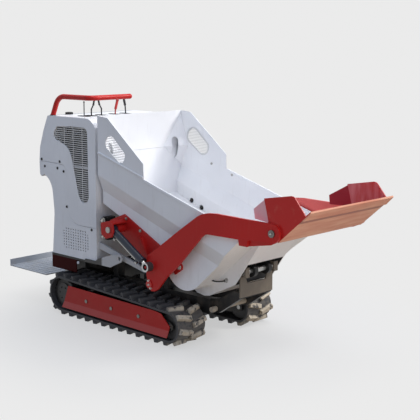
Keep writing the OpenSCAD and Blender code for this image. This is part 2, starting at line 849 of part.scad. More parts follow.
shovel_tilt = 40.8;
hinge_edge = [1014, 659];
function on_shovel(s, n) = hinge_edge + s * [cos(shovel_tilt), sin(shovel_tilt)]
  + n * [-sin(shovel_tilt), cos(shovel_tilt)];
function shovel_points(p) = [for (q = p) on_shovel(q[0], q[1])];
module shovel() {
  w = shovel_width / 2;
  t = shovel_plate;
  d = shovel_depth;
  ear = shovel_points([[-14, -2], [d - 37, -2], [d - 35, 98], [d - 39, 110], [d - 48, 120], [54, 204], [5, 104],
    [-38, 102], [-152, 110], [-178, 82], [-56, 10]]);
  color(red) difference() {
    union() {
      side(shovel_points([[-12, -t], [d - 70, -t], [d - 62, -t - 6], [d - 4, -t - 2], [d, 0], [-6, 0]]), -w, w);
      both() side(ear, ear_in, w);
      both() wing(t);
    }
    both() rod(shovel_pivot, 11 + run_gap, ear_in - 5, w + 5);
  }
}
module wing(t) {
  w = shovel_width / 2;
  a = on_shovel(54, 204);
  b = on_shovel(5, 104);
  d = on_shovel(-58, 216);
  plate([b[0], w - 1, b[1]], [a[0], w - 1, a[1]], [d[0], w - 33, d[1]], t,
    [[-0.04, -0.03], [0.97, -0.03], [0, 1], [-0.461, 1.054]]);
}

module shovel_pins() {
  color(steel) both() {
    rod(shovel_pivot, 11, ear_in, arm_out + 1);
    rod(shovel_pivot, 18, arm_out, arm_out + 7);
  }
}

module along_lift() {
  translate([barrel_pin[0], ram_y, barrel_pin[1]]) rotate([0, 90 - lift_angle, 0]) children();
}
module lift_barrels() {
  l = lift_length - 46;
  color(navy) both() difference() {
    union() {
      along_lift() translate([0, 0, 8]) cylinder(r = ram_radius, h = l - 20);
      along_lift() translate([0, 0, l - 14]) cylinder(r = ram_radius + 1.5, h = 14);
      rod(barrel_pin, 24, ram_y - 15, ram_y + 15);
      along_lift() translate([ram_radius + 7, 0, 40]) cylinder(r = 5, h = l - 76);
      along_lift() translate([0, -8, 34]) cube([ram_radius + 14, 16, 14]);
      along_lift() translate([0, -8, l - 44]) cube([ram_radius + 14, 16, 14]);
    }
    rod(barrel_pin, axle_radius + run_gap, ram_y - 30, ram_y + 30);
    along_lift() translate([0, 0, 60]) cylinder(r = 10 + run_gap, h = l);
  }
}
module lift_rods() {
  color(steel) both() {
    along_lift() translate([0, 0, 100]) cylinder(r = 10, h = lift_length - 118);
    tube(rod_eye, 25, 16.5, arm_out + 2, ram_y + ram_radius);
  }
}

module along_tip() {
  translate([ram_foot[0], 0, ram_foot[1]]) rotate([0, 90 - tip_angle, 0]) children();
}
module tip_barrel() {
  l = tip_length - 54;
  color(black) difference() {
    union() {
      along_tip() translate([0, 0, 10]) cylinder(r = 28, h = l - 10);
      rod(ram_foot, 30, -25, 25);
    }
    rod(ram_foot, axle_radius + run_gap, -40, 40);
    along_tip() translate([0, 0, 46]) cylinder(r = 16 + run_gap, h = l);
  }
}
module tip_rod() {
  color(steel) {
    along_tip() translate([0, 0, 70]) cylinder(r = 16, h = tip_length - 70);
    rod(ram_head, 22, -24, 24);
  }
}

chassis_frame();
front_bracket();
front_tube();
rear_skirt();
engine_deck();
tie_down_lugs();
rest_rails();
rest_buffers();
hinge_pins();
track_frame_right();
track_frame_left();
track_cover_right();
track_cover_left();
cover_bolts();
rubber_track_right();
rubber_track_left();
sprocket_right();
sprocket_left();
idler_right();
idler_left();
front_rollers();
mid_rollers();
back_rollers();
wheel_axles();
drive_motors();
side_panel_right();
side_panel_left();
service_panel_right();
service_panel_left();
side_grilles();
hood_shell();
panel_screws();
engine_block();
muffler();
fuel_tank();
oil_tank();
oil_pump();
valve_block();
hand_rail();
lever_shaft();
throttle_lever();
travel_lever_right();
travel_lever_left();
tip_lever();
loader_lever();
platform();
skip_tub();
skip_guard();
guard_grilles();
skip_lugs();
loader_subframe();
loader_pins();
arm_right();
arm_left();
shovel();
shovel_pins();
lift_barrels();
lift_rods();
tip_barrel();
tip_rod();
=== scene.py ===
# %% [markdown]
# # A tracked power carrier, dressed in Blender
# The CAD model brings every solid of the machine at its real size: tracks, housing, skip, arms and rams.
# This lesson gives those solids the finishes of the real machine and adds the small pieces that a
# workshop would fit by hand: bolts, unions, pipes, folded hems and rubber bezels.
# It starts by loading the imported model, because everything else is placed against it.

# %% Load the machine
import math

import bpy
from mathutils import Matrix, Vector


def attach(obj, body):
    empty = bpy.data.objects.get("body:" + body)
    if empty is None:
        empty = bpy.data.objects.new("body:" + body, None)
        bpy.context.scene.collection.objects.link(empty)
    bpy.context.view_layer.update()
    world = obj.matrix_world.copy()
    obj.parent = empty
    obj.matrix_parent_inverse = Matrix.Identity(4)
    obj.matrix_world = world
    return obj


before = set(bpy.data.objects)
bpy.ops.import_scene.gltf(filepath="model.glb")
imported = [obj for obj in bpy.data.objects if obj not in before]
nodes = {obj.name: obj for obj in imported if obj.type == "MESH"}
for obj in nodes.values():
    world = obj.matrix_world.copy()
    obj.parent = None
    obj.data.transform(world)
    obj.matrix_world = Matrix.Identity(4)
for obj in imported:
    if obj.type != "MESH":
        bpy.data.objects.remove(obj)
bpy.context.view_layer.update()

# %% [markdown]
# ## The camera
# The machine is seen from its right front corner, a little above the skip's rim, with a long lens.
# A long lens keeps the tracks nearly parallel. The lens's axis is not in the middle of the frame,
# so the camera gets a small shift instead of being turned away.

# %% Set the camera
YAW = math.radians(44.04)
PITCH = math.radians(7.46)
FILM_WIDTH = 36.0
LENS = 84.2
SHIFT = (0.0152, -0.0917)
STAND = (3.889, -3.811, 1.574)
camera_data = bpy.data.cameras.new("studio_camera")
camera_data.sensor_width = FILM_WIDTH
camera_data.lens = LENS
camera_data.shift_x = SHIFT[0]
camera_data.shift_y = SHIFT[1]
camera = bpy.data.objects.new("studio_camera", camera_data)
bpy.context.collection.objects.link(camera)
camera.location = STAND
looking = Vector((-math.sin(YAW) * math.cos(PITCH), math.cos(YAW) * math.cos(PITCH), -math.sin(PITCH)))
camera.rotation_euler = looking.to_track_quat("-Z", "Y").to_euler()
bpy.context.scene.camera = camera
bpy.context.scene.view_settings.view_transform = "Standard"
print("camera looks along", tuple(round(v, 3) for v in looking))

# %% [markdown]
# ## Sums with shader nodes
# A finish is a small sum: so much dust here, so much wear there. Written as nodes, such a sum is hard
# to read. One class wraps a socket and lets Python's operators add the Math nodes, and another holds
# a material and makes any other node with one method. Places are measured in metres on the object's own
# coordinates, so a mark stays on its piece when a joint moves.

# %% Wrap the sockets
class Term:
    """One socket of a finish. Adding, multiplying and so on adds a Math node."""

    def __init__(self, finish, socket):
        self.finish = finish
        self.socket = socket

    def sum(self, operation, left, right):
        return self.finish.node("ShaderNodeMath", {"operation": operation}, {0: left, 1: right})

    def __add__(self, other):
        return self.sum("ADD", self, other)

    def __sub__(self, other):
        return self.sum("SUBTRACT", self, other)

    def __rsub__(self, other):
        return self.sum("SUBTRACT", other, self)

    def __mul__(self, other):
        return self.sum("MULTIPLY", self, other)

    def __pow__(self, other):
        return self.sum("POWER", self, other)


def pick(sockets, key):
    if isinstance(key, int):
        return sockets[key]
    return next(s for s in sockets if s.enabled and s.name == key)


print("sockets can be added, multiplied and raised")


# %% Wrap the materials
class Finish:
    """A material whose nodes are made one call at a time, on the object's own coordinates."""

    def __init__(self, name):
        self.material = bpy.data.materials.new(name)
        self.material.use_nodes = True
        self.tree = self.material.node_tree
        self.shader = self.tree.nodes["Principled BSDF"]
        self.place = self.node("ShaderNodeTexCoord", out="Object")

    def feed(self, socket, value):
        if isinstance(value, Term):
            self.tree.links.new(value.socket, socket)
        elif isinstance(value, tuple) and len(value) == 3 and socket.type == "RGBA":
            socket.default_value = (*value, 1.0)
        else:
            socket.default_value = value

    def node(self, kind, settings=None, sockets=None, out=0):
        made = self.tree.nodes.new(kind)
        for key, value in (settings or {}).items():
            setattr(made, key, value)
        for key, value in (sockets or {}).items():
            self.feed(pick(made.inputs, key), value)
        return Term(self, pick(made.outputs, out))

    def noise(self, scale, detail=2.0, stretch=(1, 1, 1)):
        place = self.place
        if stretch != (1, 1, 1):
            place = self.node("ShaderNodeMapping", None, {"Vector": place, "Scale": stretch})
        return self.node("ShaderNodeTexNoise", None, {"Vector": place, "Scale": scale, "Detail": detail})

    def smooth(self, value, low, high):
        sockets = {"Value": value, "From Min": low, "From Max": high}
        return self.node("ShaderNodeMapRange", {"interpolation_type": "SMOOTHSTEP"}, sockets)

    def mix(self, mask, first, second):
        sockets = {"Factor": mask, "A": first, "B": second}
        return self.node("ShaderNodeMix", {"data_type": "RGBA"}, sockets, out="Result")

    def axis(self, name):
        return self.node("ShaderNodeSeparateXYZ", None, {"Vector": self.place}, out=name)

    def aside(self):
        return self.node("ShaderNodeMath", {"operation": "ABSOLUTE"}, {0: self.axis("Y")})

    def away(self, centre):
        ahead = self.axis("X") - centre[0]
        above = self.axis("Z") - centre[1]
        return (ahead * ahead + above * above) ** 0.5

    def band(self, value, start, end):
        return self.smooth(value, *start) * (1 - self.smooth(value, *end))

    def sine(self, value):
        return self.node("ShaderNodeMath", {"operation": "SINE"}, {0: value})

    def rounded(self, radius):
        return self.node("ShaderNodeBevel", {"samples": 4}, {"Radius": radius})

    def edges(self, soft):
        flat = self.node("ShaderNodeNewGeometry", out="Normal")
        sockets = {0: soft, 1: flat}
        dot = self.node("ShaderNodeVectorMath", {"operation": "DOT_PRODUCT"}, sockets, out="Value")
        return self.smooth(1 - dot, *EDGE_RANGE)

    def bump(self, height, depth, normal):
        return self.node("ShaderNodeBump", None, {"Height": height, "Distance": depth, "Normal": normal})

    def finish(self, **values):
        for key, value in values.items():
            self.feed(self.shader.inputs[key.replace("_", " ")], value)
        print("finish", self.material.name, "has", len(self.tree.nodes), "nodes")
        return self.material


def tint(colour, factor):
    return tuple(min(1.0, c * factor) for c in colour)


EDGE_RANGE = (0.01, 0.16)
PLATE_EDGE = 0.002
DUST = (0.33, 0.27, 0.20)
print("plates are rounded by", PLATE_EDGE, "m")

# %% [markdown]
# ## Enamel
# Housing, skip, arms and covers are sheet steel in baked enamel. Enamel isn't one flat colour: it has
# a faint orange peel, large soft clouds of tone, a thinner film along the edges and road dust that
# gathers low down. The dust mask falls with height, the edge mask compares a rounded normal with the
# true one, and both feed colour and roughness. The shine is kept low, because this paint is satin.
# A few pieces carry one mark more, and each of these is painted light or shade: painted shade in the
# recess round the skip's hinge and on the tie-down lugs under the hood, and painted light on the arms'
# inner faces and on the covers' flared strip. Each mark is a function that says where it lies and what
# colour it has.

# %% Write the enamel and its marks
SHEET_EDGE = 0.0022
DUST_HEIGHTS = (0.05, 0.55)
PEEL_DEPTH = 0.00012
HINGE = (0.600, 0.392)
RECESS_SHADE_REACH = (0.084, 0.100)
RECESS_BACK = (0.5495, 0.5505)
RECESS_TOP = (0.4535, 0.4545)
RECESS_SIDE = (0.1415, 0.1425)
ARM_INSIDE = (0.3362, 0.3370)
LIT_FACE_START = (0.38, 0.48)
FLARE_TOP = (0.081, 0.086)
ROOT_END = (-0.280, -0.262)


def clouds(f, colour):
    return f.mix(f.smooth(f.noise(2.3, 3.0), 0.3, 0.7), tint(colour, 0.94), tint(colour, 1.04))


def enamel(name, colour, roughness, coat, dust, edge_tone, shine=0.3, stain_and_light=None):
    f = Finish(name)
    soft = f.rounded(SHEET_EDGE)
    tone = clouds(f, colour)
    low = 1 - f.smooth(f.axis("Z"), *DUST_HEIGHTS)
    patches = f.smooth(f.noise(16.0, 6.0), 0.42, 0.72)
    streaks = f.smooth(f.noise(9.0, 4.0, (6, 6, 0.7)), 0.55, 0.8)
    dusty = (low * patches + streaks * 0.35) * dust
    edge = f.edges(soft)
    scuffs = f.smooth(f.noise(60.0, 2.0, (1, 1, 5)), 0.68, 0.74) * 0.12
    painted = f.mix(edge * 0.5 + scuffs, tone, edge_tone)
    colour_out = f.mix(dusty, painted, DUST)
    # The extra mark laid here is painted light or painted shade on every enamel that has one.
    if stain_and_light:
        where, mark_colour = stain_and_light(f)
        colour_out = f.mix(where, colour_out, mark_colour)
    rough = f.noise(35.0, 3.0) * 0.12 + dusty * 0.4 + (roughness - 0.06)
    grain = f.bump(f.noise(520.0, 1.0), PEEL_DEPTH, soft)
    return f.finish(Base_Color=colour_out, Roughness=rough, Normal=grain, Coat_Weight=coat,
                    Coat_Roughness=0.12, Specular_IOR_Level=shine)


# Painted shade: the skip's recess round the hinge is painted near black, for the shade that falls there.
def hinge_recess_shade(f):
    near = 1 - f.smooth(f.away(HINGE), *RECESS_SHADE_REACH)
    recess = f.smooth(f.axis("X"), *RECESS_BACK) * (1 - f.smooth(f.axis("Z"), *RECESS_TOP))
    recess = recess * (1 - f.smooth(f.aside(), *RECESS_SIDE))
    return near * recess * 0.96, (0.014, 0.013, 0.012)


# Painted light: the forward part of each arm's inner face is painted a paler red, for the light that falls
# on it.
def arm_face_light(f):
    inner = 1 - f.smooth(f.aside(), *ARM_INSIDE)
    return inner * f.smooth(f.axis("X"), *LIT_FACE_START) * 0.75, (0.85, 0.17, 0.15)


# Painted light: the covers' lower strip, which flares out towards the sky, is painted a paler red.
def flare_light(f):
    return (1 - f.smooth(f.axis("Z"), *FLARE_TOP)) * 0.55, (0.50, 0.11, 0.10)


# Painted shade: the tie-down lugs' rear ends, in the shade under the hood, are painted near black.
def under_hood_shade(f):
    return (1 - f.smooth(f.axis("X"), *ROOT_END)) * 0.94, (0.022, 0.020, 0.018)


print("enamel has four marks")

# %% Mix the enamels
WHITE = (0.86, 0.865, 0.875)
WHITE_EDGE = tint(WHITE, 0.86)
RED = (0.50, 0.015, 0.013)
RED_EDGE = (0.46, 0.035, 0.03)
PALE = (0.56, 0.56, 0.56)
PALE_EDGE = (0.62, 0.62, 0.61)
white_enamel = enamel("white_enamel", WHITE, 0.40, 0.1, 0.25, WHITE_EDGE, 0.35)
tub_enamel = enamel("tub_enamel", WHITE, 0.40, 0.1, 0.25, WHITE_EDGE, 0.35, hinge_recess_shade)
red_enamel = enamel("red_enamel", RED, 0.42, 0.05, 0.16, RED_EDGE, 0.2)
arm_enamel = enamel("arm_enamel", RED, 0.42, 0.05, 0.16, RED_EDGE, 0.2, arm_face_light)
# The skirt's very dark red is painted shade, for the shade that it stands in under the hood.
skirt_shade_enamel = enamel("skirt_shade_enamel", (0.034, 0.002, 0.002), 0.5, 0.0, 0.0, (0.05, 0.004, 0.004), 0.04)
cover_enamel = enamel("cover_enamel", tint(RED, 0.84), 0.44, 0.05, 0.03, (0.44, 0.04, 0.035), 0.2,
                      flare_light)
black_enamel = enamel("black_enamel", (0.011, 0.011, 0.012), 0.45, 0.05, 0.16, (0.05, 0.05, 0.05))
grey_enamel = enamel("grey_enamel", (0.24, 0.255, 0.28), 0.45, 0.05, 0.3, (0.36, 0.36, 0.37))
pale_enamel = enamel("pale_enamel", PALE, 0.42, 0.05, 0.35, PALE_EDGE)
lug_enamel = enamel("lug_enamel", PALE, 0.42, 0.05, 0.35, PALE_EDGE, stain_and_light=under_hood_shade)
tan_primer = enamel("tan_primer", (0.40, 0.35, 0.28), 0.5, 0.0, 0.5, (0.5, 0.46, 0.38))
bracket_primer = enamel("bracket_primer", (0.17, 0.145, 0.115), 0.55, 0.0, 0.4, (0.30, 0.27, 0.23))
ram_enamel = enamel("ram_enamel", (0.014, 0.022, 0.042), 0.36, 0.2, 0.15, (0.06, 0.07, 0.09))

# %% [markdown]
# ## The shovel's underside, scraped and painted with light and shade
# The shovel is pushed along the ground, so its underside and its lip have lost their gloss. Their red is
# painted pale salmon, which is painted light for the glow that the ground throws up onto them, with a band
# of painted shade at the step in front of the lip's strip. Inside, the wings get pale streaks. The wings'
# bent rear flanges carry a painted highlight outside and painted shade inside.
# Three measures place it all: the height square to the floor, the reach along the floor from the hinge
# edge, and the lean, which grows square to the flanges.

# %% Measure the shovel
SHOVEL_EDGE = (1.014, 0.659)
SHOVEL_TILT = math.radians(40.8)
SCRATCH_DEPTH = 0.0002
FLANGE_SLOPE = (0.957, 0.128, 0.260)
FLOOR_UNDER = (-0.0058, -0.0048)
FLOOR_TOP = (0.002, 0.006)
LIP_START = (0.2365, 0.2385)
STEP_SHADE = ((0.143, 0.151), (0.174, 0.180))
FLANGE_FOOT = (0.103, 0.106)
FLANGE_OUTSIDE = ((0.3285, 0.3298), (0.3315, 0.3325))
FLANGE_INSIDE = ((0.3235, 0.3243), (0.3252, 0.3262))
WING_OUTSIDE = (0.3322, 0.3332)
WING_INSIDE = ((0.3270, 0.3278), (0.3288, 0.3298))


def shovel_measures(f):
    ahead = f.axis("X") - SHOVEL_EDGE[0]
    above = f.axis("Z") - SHOVEL_EDGE[1]
    height = above * math.cos(SHOVEL_TILT) - ahead * math.sin(SHOVEL_TILT)
    reach = ahead * math.cos(SHOVEL_TILT) + above * math.sin(SHOVEL_TILT)
    return height, reach


def flange_masks(f, height, reach):
    aside = f.aside()
    lean = aside * FLANGE_SLOPE[0] + height * FLANGE_SLOPE[1] - reach * FLANGE_SLOPE[2]
    raised = f.smooth(height, *FLANGE_FOOT)
    outer = f.band(lean, *FLANGE_OUTSIDE) * raised * (1 - f.smooth(aside, *WING_OUTSIDE))
    inner = f.band(lean, *FLANGE_INSIDE) * raised * (1 - f.smooth(aside, *WING_INSIDE[0]))
    return outer, inner


print("shovel tilted by", round(math.degrees(SHOVEL_TILT), 1), "degrees")


# %% Scrape the shovel and paint its light and shade
def shovel_light_and_scrapes():
    f = Finish("shovel_enamel")
    soft = f.rounded(PLATE_EDGE)
    height, reach = shovel_measures(f)
    below = 1 - f.smooth(height, *FLOOR_UNDER)
    scraped_and_ground_lit = below + (1 - below) * f.smooth(reach, *LIP_START)
    outer, inner = flange_masks(f, height, reach)
    streaks = f.smooth(f.noise(22.0, 4.0, (1.6, 1, 0.3)), 0.2, 0.75)
    wing = f.band(f.aside(), *WING_INSIDE) * f.smooth(height, *FLOOR_TOP) * streaks
    scratches = f.noise(30.0, 4.0, (1, 0.15, 1))
    # Painted light: the pale salmon tones stand in for the glow that the ground throws onto the underside
    # and lip.
    pale = f.mix(f.smooth(scratches, 0.3, 0.75), (0.69, 0.29, 0.18), (0.87, 0.51, 0.34))
    # Painted shade: a dark band at the step in front of the lip's strip.
    underside_light_and_shade = f.mix(f.band(reach, *STEP_SHADE) * 0.75, pale, (0.20, 0.07, 0.05))
    scuffs = f.smooth(f.noise(24.0, 5.0, (1, 0.3, 1)), 0.55, 0.8) * 0.22
    scuffed = f.mix(scuffs, clouds(f, RED), (0.55, 0.20, 0.15))
    edged = f.mix(f.edges(soft) * 0.5, scuffed, (0.52, 0.16, 0.12))
    winged = f.mix(wing * 0.8, edged, (0.66, 0.20, 0.21))
    # Painted shade on the flanges' inner faces, and a painted highlight on their outer faces.
    shaded = f.mix(inner * 0.8, winged, (0.30, 0.016, 0.033))
    flange_highlight = f.mix(outer * 0.9, shaded, (0.86, 0.48, 0.52))
    colour_out = f.mix(scraped_and_ground_lit * 0.85, flange_highlight, underside_light_and_shade)
    rough = scraped_and_ground_lit * 0.2 + scratches * 0.12 + 0.34
    return f.finish(Base_Color=colour_out, Roughness=rough, Normal=f.bump(scratches, SCRATCH_DEPTH, soft),
                    Specular_IOR_Level=0.25, Coat_Weight=0.08, Coat_Roughness=0.2)


shovel_enamel = shovel_light_and_scrapes()

# %% [markdown]
# ## Tread plate
# The driver stands on a folding step of tread plate, a steel sheet with raised bars that cross each
# other. The bars are rolled into the sheet, so they are a bump: two families of slanted waves are
# multiplied, and only the crests are kept. The crests are rubbed bright, the valleys keep the grey paint.

# %% Roll the tread plate
BAR_WAVES = 150.0
BAR_HEIGHT = 0.0012


def tread_plate():
    f = Finish("tread_plate")
    soft = f.rounded(PLATE_EDGE)
    along = (f.axis("X") + f.axis("Y")) * BAR_WAVES
    cross = (f.axis("X") - f.axis("Y")) * BAR_WAVES
    bars = f.smooth(f.sine(along) * f.sine(cross), 0.35, 0.6)
    grit = f.noise(120.0, 4.0)
    rubbed = bars * f.smooth(grit, 0.35, 0.6) * 0.7
    base = f.mix(f.noise(9.0, 4.0), (0.34, 0.36, 0.39), (0.46, 0.48, 0.51))
    worn = f.mix(rubbed + f.edges(soft) * 0.4, base, (0.62, 0.63, 0.64))
    colour_out = f.mix(f.smooth(f.noise(14.0, 5.0), 0.5, 0.75) * 0.3, worn, DUST)
    rough = grit * 0.2 - rubbed * 0.15 + 0.42
    relief = f.bump(bars + grit * 0.1, BAR_HEIGHT, soft)
    return f.finish(Base_Color=colour_out, Roughness=rough, Normal=relief)


step_finish = tread_plate()

# %% [markdown]
# ## Rubber
# The tracks are carbon-black rubber. New rubber is almost black and matt, with a fine moulded grain,
# and the lugs that came off a building site carry tan mud. The mud sits on the lugs that turn round the
# front idler, so its mask is the distance from the idler's axle, broken up by noise.

# %% Mould the rubber
IDLER = (0.297, 0.103)
LUG_REACH = (0.080, 0.093)
MUD_START = (-0.03, 0.035)
MUD_DEPTH = 0.0006
BOOT_EDGE = 0.0015
BOOT_GRAIN = 0.0001


def track_rubber():
    f = Finish("track_rubber")
    soft = f.rounded(PLATE_EDGE)
    ahead = f.axis("X") - IDLER[0]
    lug_faces = f.smooth(f.away(IDLER), *LUG_REACH) * f.smooth(ahead, *MUD_START)
    clods = f.smooth(f.noise(34.0, 6.0), 0.33, 0.5)
    mud = lug_faces * clods
    film = f.smooth(f.noise(11.0, 5.0), 0.45, 0.8) * 0.16
    worn = f.edges(soft) * 0.25
    black = f.mix(f.noise(5.0, 3.0), (0.036, 0.036, 0.039), (0.070, 0.070, 0.075))
    greyed = f.mix(worn + film, black, (0.075, 0.072, 0.068))
    tan = f.mix(f.noise(60.0, 4.0), (0.38, 0.32, 0.24), (0.68, 0.60, 0.48))
    colour_out = f.mix(mud, greyed, tan)
    rough = mud * 0.3 + f.noise(40.0, 2.0) * 0.15 + 0.5
    grain = f.bump(f.noise(260.0, 3.0) + mud * 2.0, MUD_DEPTH, soft)
    return f.finish(Base_Color=colour_out, Roughness=rough, Normal=grain, Specular_IOR_Level=0.3)


def plain_rubber():
    f = Finish("plain_rubber")
    black = f.mix(f.noise(30.0, 3.0), (0.014, 0.014, 0.015), (0.03, 0.03, 0.032))
    rough = f.noise(80.0, 2.0) * 0.2 + 0.5
    grain = f.bump(f.noise(700.0, 1.0), BOOT_GRAIN, f.rounded(BOOT_EDGE))
    return f.finish(Base_Color=black, Roughness=rough, Normal=grain, Specular_IOR_Level=0.3)


rubber_finish = track_rubber()
boot_rubber = plain_rubber()

# %% [markdown]
# ## Bare metal, castings and plastic
# Pins and unions are zinc-bright steel with fine turning marks, ram rods are hard chrome, the track
# wheels are black castings with a pebbled skin, and the lever grips are matt moulded plastic. The wire
# of the grilles is dull, so it is part metal and part grey skin. The lift rods have dull eyes with a
# bright rim, and the arm pins are painted over with the arms.

# %% Write the metals and castings
ROD_EYE = (0.152, 0.403)
EYE_REACH = (0.026, 0.029)
EYE_RIM = (0.3895, 0.3915)
ARM_PIN = (0.142, 0.303)
PIN_REACH = (0.034, 0.038)
METAL_EDGE = 0.0012
CAST_EDGE = 0.003
TURNING_DEPTH = 0.00005


def metal(name, colour, roughness, marks, grain_scale, shiny=1.0):
    f = Finish(name)
    soft = f.rounded(METAL_EDGE)
    lines = f.noise(grain_scale, 2.0, (1, 12, 1))
    stain_and_light = f.smooth(f.noise(22.0, 5.0), 0.5, 0.8) * marks
    shade = f.mix(stain_and_light, colour, tint(colour, 0.45))
    rough = lines * 0.14 + stain_and_light * 0.3 + (roughness - 0.07)
    grain = f.bump(lines, TURNING_DEPTH, soft)
    return f.finish(Base_Color=shade, Metallic=shiny, Roughness=rough, Normal=grain)


def ram_chrome():
    f = Finish("lift_chrome")
    soft = f.rounded(METAL_EDGE)
    eye = 1 - f.smooth(f.away(ROD_EYE), *EYE_REACH)
    dull = eye * (1 - f.smooth(f.aside(), *EYE_RIM) * 0.8)
    lines = f.noise(240.0, 2.0, (1, 12, 1))
    shade = f.mix(dull, (0.58, 0.59, 0.60), (0.06, 0.06, 0.062))
    rough = lines * 0.1 + eye * 0.25 + 0.1
    grain = f.bump(lines, TURNING_DEPTH, soft)
    return f.finish(Base_Color=shade, Metallic=1 - dull * 0.7, Roughness=rough, Normal=grain)


def pin_finish():
    f = Finish("painted_pins")
    soft = f.rounded(METAL_EDGE)
    painted = 1 - f.smooth(f.away(ARM_PIN), *PIN_REACH)
    turned = f.noise(160.0, 3.0)
    shade = f.mix(painted, f.mix(turned, (0.22, 0.22, 0.215), (0.36, 0.36, 0.35)), RED)
    rough = turned * 0.12 + 0.32
    grain = f.bump(turned, TURNING_DEPTH, soft)
    return f.finish(Base_Color=shade, Metallic=1 - painted, Roughness=rough, Normal=grain)


def casting(name, colour, roughness, pebble):
    f = Finish(name)
    soft = f.rounded(CAST_EDGE)
    tone = f.mix(f.noise(14.0, 4.0), tint(colour, 0.7), tint(colour, 1.5))
    worn = f.mix(f.edges(soft) * 0.4, tone, tint(colour, 3.0))
    rough = f.noise(50.0, 3.0) * 0.2 + (roughness - 0.1)
    return f.finish(Base_Color=worn, Roughness=rough, Normal=f.bump(f.noise(330.0, 3.0), pebble, soft))


print("rod eyes at", ROD_EYE, "and arm pins at", ARM_PIN)

# %% Make the metals and plastics
zinc_steel = metal("zinc_steel", (0.42, 0.42, 0.41), 0.36, 0.5, 160.0)
aged_steel = metal("aged_steel", (0.17, 0.165, 0.16), 0.42, 0.5, 160.0)
hard_chrome = metal("hard_chrome", (0.78, 0.79, 0.80), 0.14, 0.1, 240.0)
lift_chrome = ram_chrome()
painted_pins = pin_finish()
grille_wire = metal("grille_wire", (0.52, 0.525, 0.53), 0.5, 0.3, 120.0, 0.3)
mesh_wire = metal("mesh_wire", (0.66, 0.66, 0.66), 0.45, 0.2, 120.0, 0.2)
wheel_iron = casting("wheel_iron", (0.012, 0.012, 0.013), 0.55, 0.0005)
engine_alloy = casting("engine_alloy", (0.30, 0.30, 0.31), 0.5, 0.0004)
grip_black = casting("grip_black", (0.016, 0.016, 0.018), 0.5, 0.0001)
grip_red = casting("grip_red", (0.42, 0.03, 0.025), 0.4, 0.0001)

# %% [markdown]
# ## Hand the finishes out
# Each CAD solid already has one material slot. The finish goes into that slot and the mesh stays as it is.

# %% Dress the CAD solids
DRESS = {
    white_enamel: ["side_panel_right", "side_panel_left", "service_panel_right", "service_panel_left",
                   "hood_shell", "skip_guard"],
    tub_enamel: ["skip_tub"],
    skirt_shade_enamel: ["rear_skirt"],
    cover_enamel: ["track_cover_right", "track_cover_left"],
    red_enamel: ["hand_rail", "loader_subframe"],
    arm_enamel: ["arm_right", "arm_left"],
    shovel_enamel: ["shovel"],
    black_enamel: ["chassis_frame", "engine_deck", "track_frame_right", "track_frame_left", "drive_motors",
                   "panel_screws", "valve_block", "skip_lugs", "tip_barrel"],
    grey_enamel: ["oil_tank"],
    tan_primer: ["front_tube"],
    pale_enamel: ["rest_rails"],
    lug_enamel: ["tie_down_lugs"],
    step_finish: ["platform"],
    bracket_primer: ["front_bracket"],
    ram_enamel: ["lift_barrels"],
    rubber_finish: ["rubber_track_right", "rubber_track_left"],
    boot_rubber: ["rest_buffers"],
    zinc_steel: ["hinge_pins", "wheel_axles", "muffler", "lever_shaft"],
    painted_pins: ["loader_pins"],
    aged_steel: ["cover_bolts", "shovel_pins"],
    grille_wire: ["side_grilles"],
    mesh_wire: ["guard_grilles"],
    lift_chrome: ["lift_rods"],
    hard_chrome: ["tip_rod"],
    wheel_iron: ["sprocket_right", "sprocket_left", "idler_right", "idler_left", "front_rollers",
                 "mid_rollers", "back_rollers"],
    engine_alloy: ["engine_block", "oil_pump"],
    grip_black: ["fuel_tank", "throttle_lever", "travel_lever_right", "travel_lever_left", "loader_lever"],
    grip_red: ["tip_lever"],
}
dressed = 0
for finish, names in DRESS.items():
    for name in names:
        for slot in nodes[name].material_slots:
            slot.material = finish
        dressed += 1
print("dressed", dressed, "of", len(nodes), "solids")

# %% [markdown]
# ## Floor, sky and lamps
# The machine stands on a plain pale floor. The near side is the shaded one, so the main lamp stands
# in front on the far side, and a pale sky fills the shade with a cool tone. The camera and mirrors see
# a pale backdrop, while the light that the floor throws back is that of brown earth, which warms the
# faces that look down. The floor keeps the shadow near the machine and fades into the backdrop.

# %% Lay the floor
BACKDROP = (0.83, 0.83, 0.83)
FLOOR_SEEN = (0.58, 0.58, 0.58)
EARTH = (0.27, 0.21, 0.145)
FLOOR_FADE = (0.5, 1.6)
FLOOR_GLOW = 0.65


def clear():
    bpy.ops.object.select_all(action="DESELECT")


def floor_finish():
    f = Finish("floor_finish")
    ahead = f.axis("X")
    across = f.axis("Y")
    away = (ahead * ahead + across * across) ** 0.5
    camera_ray = f.node("ShaderNodeLightPath", out="Is Camera Ray")
    glossy_ray = f.node("ShaderNodeLightPath", out="Is Glossy Ray")
    clear_ray = f.node("ShaderNodeLightPath", out="Is Transmission Ray")
    fade = f.smooth(away, *FLOOR_FADE) * (1 - FLOOR_GLOW) + FLOOR_GLOW
    bright = camera_ray * fade + glossy_ray + clear_ray
    pale = f.mix(camera_ray, EARTH, FLOOR_SEEN)
    glow = f.node("ShaderNodeEmission", None, {"Color": BACKDROP})
    matt = f.node("ShaderNodeBsdfDiffuse", None, {"Color": pale})
    both = f.node("ShaderNodeMixShader", None, {0: bright, 1: matt, 2: glow})
    target = f.tree.nodes["Material Output"].inputs["Surface"]
    f.tree.links.new(both.socket, target)
    return f.material


clear()
bpy.ops.mesh.primitive_plane_add(size=60.0, location=(0, 0, 0))
floor = bpy.context.object
floor.name = "floor"
floor.data.materials.append(floor_finish())
print("floor laid")

